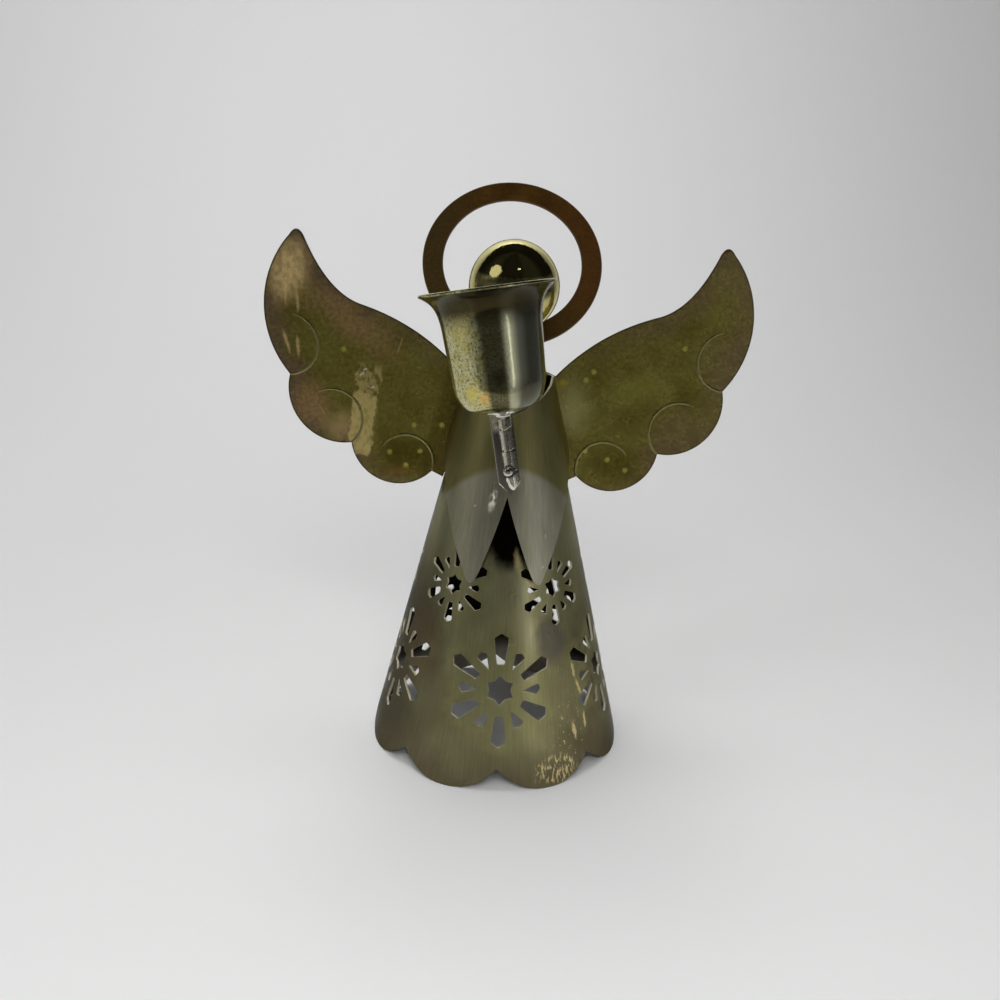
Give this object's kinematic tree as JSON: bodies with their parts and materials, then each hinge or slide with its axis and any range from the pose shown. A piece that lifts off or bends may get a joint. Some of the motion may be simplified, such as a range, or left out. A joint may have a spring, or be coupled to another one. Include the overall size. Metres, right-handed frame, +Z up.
{
  "type": "angel candle holder",
  "caption": "Sheet-metal angel candle holder with a pierced cone skirt, pointed mantle, wings, halo, ball head and a bell-shaped candle cup on a riveted arm.",
  "frame": {"origin": "on the ground, at the middle of the box that the part covers", "axes": "+Z up, the front with the candle cup looks along -Y, +X is the viewer's right"},
  "size_m": [0.1396, 0.0834, 0.1581],
  "materials": {
    "skirt": "tarnished silver plate, satin",
    "mantle": "brushed silver plate",
    "wings": "heavily tarnished plate",
    "halo": "dark brown tarnish",
    "head": "polished",
    "cup": "polished silver plate, mottled tarnish",
    "arm": "polished silver plate",
    "rivet": "bright",
    "inner": "plain"
  },
  "bodies": {
    "angel": {"skirt": "skirt", "mantle": "mantle", "wings": "wings", "halo": "halo", "head": "head", "neck_plate": "inner", "neck_screw": "inner", "pivot_rivet": "rivet", "upper_wing_rivet": "rivet", "lower_wing_rivet": "rivet", "upper_spacer": "inner", "lower_spacer": "inner"},
    "candle_arm": {"cup_arm": "arm", "candle_cup": "cup", "cup_rivet": "rivet"}
  },
  "joints": [
    {"name": "cup_swing", "type": "hinge", "parent": "angel", "child": "candle_arm", "pos_m": [0, -0.01267, 0.0817], "axis": [0, -0.9665, 0.2566], "range_deg": [-30, 10]}
  ]
}
